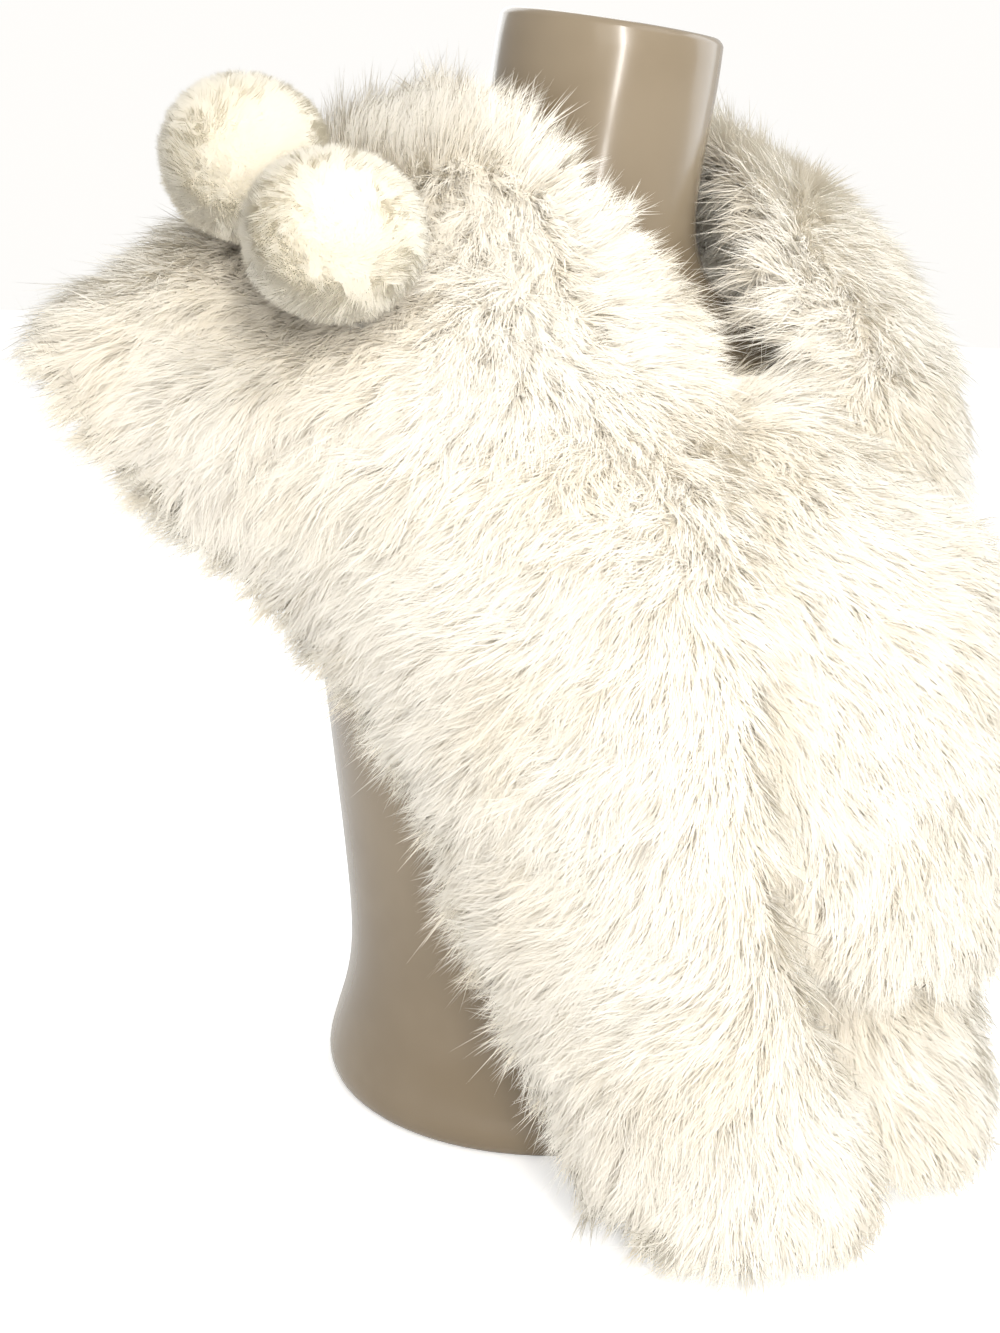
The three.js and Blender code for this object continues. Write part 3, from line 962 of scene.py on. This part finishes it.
def studio_world(settings):
    """Even light from all round, with its own brightness where the camera sees it."""
    world = bpy.data.worlds.new("soft_studio")
    world.use_nodes = True
    tree = world.node_tree
    sky = tree.nodes["Background"]
    sky.inputs["Color"].default_value = solid(SKY_TINT)
    path = tree.nodes.new("ShaderNodeLightPath")
    bright = tree.nodes.new("ShaderNodeMapRange")
    bright.inputs["To Min"].default_value = settings.sky
    bright.inputs["To Max"].default_value = settings.backdrop
    tree.links.new(path.outputs["Is Camera Ray"], bright.inputs["Value"])
    tree.links.new(bright.outputs["Result"], sky.inputs["Strength"])
    return world


def photo_camera(settings):
    """The camera at the photo's angle."""
    lens = bpy.data.cameras.new("camera")
    lens.lens = settings.lens
    lens.sensor_width = SENSOR_WIDTH
    camera = bpy.data.objects.new("camera", lens)
    turn = (
        Matrix.Rotation(settings.camera_yaw, 4, "Z")
        @ Matrix.Rotation(math.pi / 2 + settings.camera_pitch, 4, "X")
        @ Matrix.Rotation(settings.camera_roll, 4, "Z"))
    camera.matrix_world = Matrix.Translation(settings.camera_place) @ turn
    bpy.context.scene.collection.objects.link(camera)
    return camera


def build_stage(settings):
    """Floor, soft lights and the camera."""
    scene = bpy.context.scene
    corners = [(x * FLOOR_HALF, y * FLOOR_HALF, 0.0) for x, y in ((-1, -1), (1, -1), (1, 1), (-1, 1))]
    floor = mesh_piece("floor", corners, [(0, 1, 2), (0, 2, 3)], floor_material(settings))
    floor.location.z = -FLOOR_DROP
    scene.world = studio_world(settings)
    for lamp in LAMPS:
        area_light(lamp, getattr(settings, f"{lamp.name}_power"))
    scene.view_settings.view_transform = "Standard"
    scene.cycles.max_bounces = LIGHT_BOUNCES
    scene.cycles.diffuse_bounces = DIFFUSE_BOUNCES
    scene.camera = photo_camera(settings)


# Operators

class FURWRAP_OT_stage(bpy.types.Operator):
    """Adds the floor, the lights and the camera"""

    bl_idname = "furwrap.stage"
    bl_label = "Stage"

    def execute(self, context):
        build_stage(context.scene.furwrap_stage)
        return {"FINISHED"}


class FURWRAP_OT_form(bpy.types.Operator):
    """Adds the glossy torso form"""

    bl_idname = "furwrap.form"
    bl_label = "Torso form"

    def execute(self, context):
        build_form(context.scene.furwrap_form)
        return {"FINISHED"}


class FURWRAP_OT_band(bpy.types.Operator):
    """Adds the fur band and its fold across the chest"""

    bl_idname = "furwrap.band"
    bl_label = "Fur band"

    def execute(self, context):
        settings = context.scene.furwrap_fur
        materials = {
            "hair": hair_material("white_hair", settings),
            "pelt": pelt_material("cream_pelt", settings.root_colour, settings.pelt_colour),
        }
        for number, cloth in enumerate(CLOTHS):
            build_cloth(cloth, settings, materials, seed=100 * (number + 1))
        return {"FINISHED"}


class FURWRAP_OT_pompoms(bpy.types.Operator):
    """Adds the two fur pompoms"""

    bl_idname = "furwrap.pompoms"
    bl_label = "Pompoms"

    def execute(self, context):
        settings = context.scene.furwrap_pompoms
        materials = {
            "hair": hair_material("pompom_hair", settings),
            "core": pelt_material("pompom_core", settings.root_colour, settings.cream_colour),
        }
        for number, node in enumerate(POMPOMS):
            build_pompom(node, settings, materials, seed=1000 + 100 * number)
        return {"FINISHED"}


class FURWRAP_PT_pieces(bpy.types.Panel):
    """Lists the pieces and their settings"""

    bl_idname = "FURWRAP_PT_pieces"
    bl_label = "Fur wrap"
    bl_space_type = "VIEW_3D"
    bl_region_type = "UI"
    bl_category = "Fur wrap"

    def draw(self, context):
        """One box for each piece, with its button and its settings."""
        for operator, settings in PIECES:
            box = self.layout.box()
            box.operator(operator.bl_idname)
            group = getattr(context.scene, settings)
            for name in group.bl_rna.properties.keys():
                if name not in ("rna_type", "name"):
                    box.prop(group, name)


SETTINGS = {
    "furwrap_stage": StageSettings,
    "furwrap_form": FormSettings,
    "furwrap_fur": FurSettings,
    "furwrap_pompoms": PompomSettings,
}
PIECES = (
    (FURWRAP_OT_stage, "furwrap_stage"),
    (FURWRAP_OT_form, "furwrap_form"),
    (FURWRAP_OT_band, "furwrap_fur"),
    (FURWRAP_OT_pompoms, "furwrap_pompoms"),
)
CLASSES = (*SETTINGS.values(), *(operator for operator, _ in PIECES), FURWRAP_PT_pieces)


def register():
    """Adds the settings, the operators and the panel to Blender."""
    for each in CLASSES:
        bpy.utils.register_class(each)
    for name, group in SETTINGS.items():
        setattr(bpy.types.Scene, name, PointerProperty(type=group))


def unregister():
    """Takes them out again."""
    for name in SETTINGS:
        delattr(bpy.types.Scene, name)
    for each in reversed(CLASSES):
        bpy.utils.unregister_class(each)


def main():
    """Builds every piece."""
    register()
    bpy.ops.furwrap.stage()
    bpy.ops.furwrap.form()
    bpy.ops.furwrap.band()
    bpy.ops.furwrap.pompoms()
    bpy.context.view_layer.update()


if __name__ == "__main__":
    main()
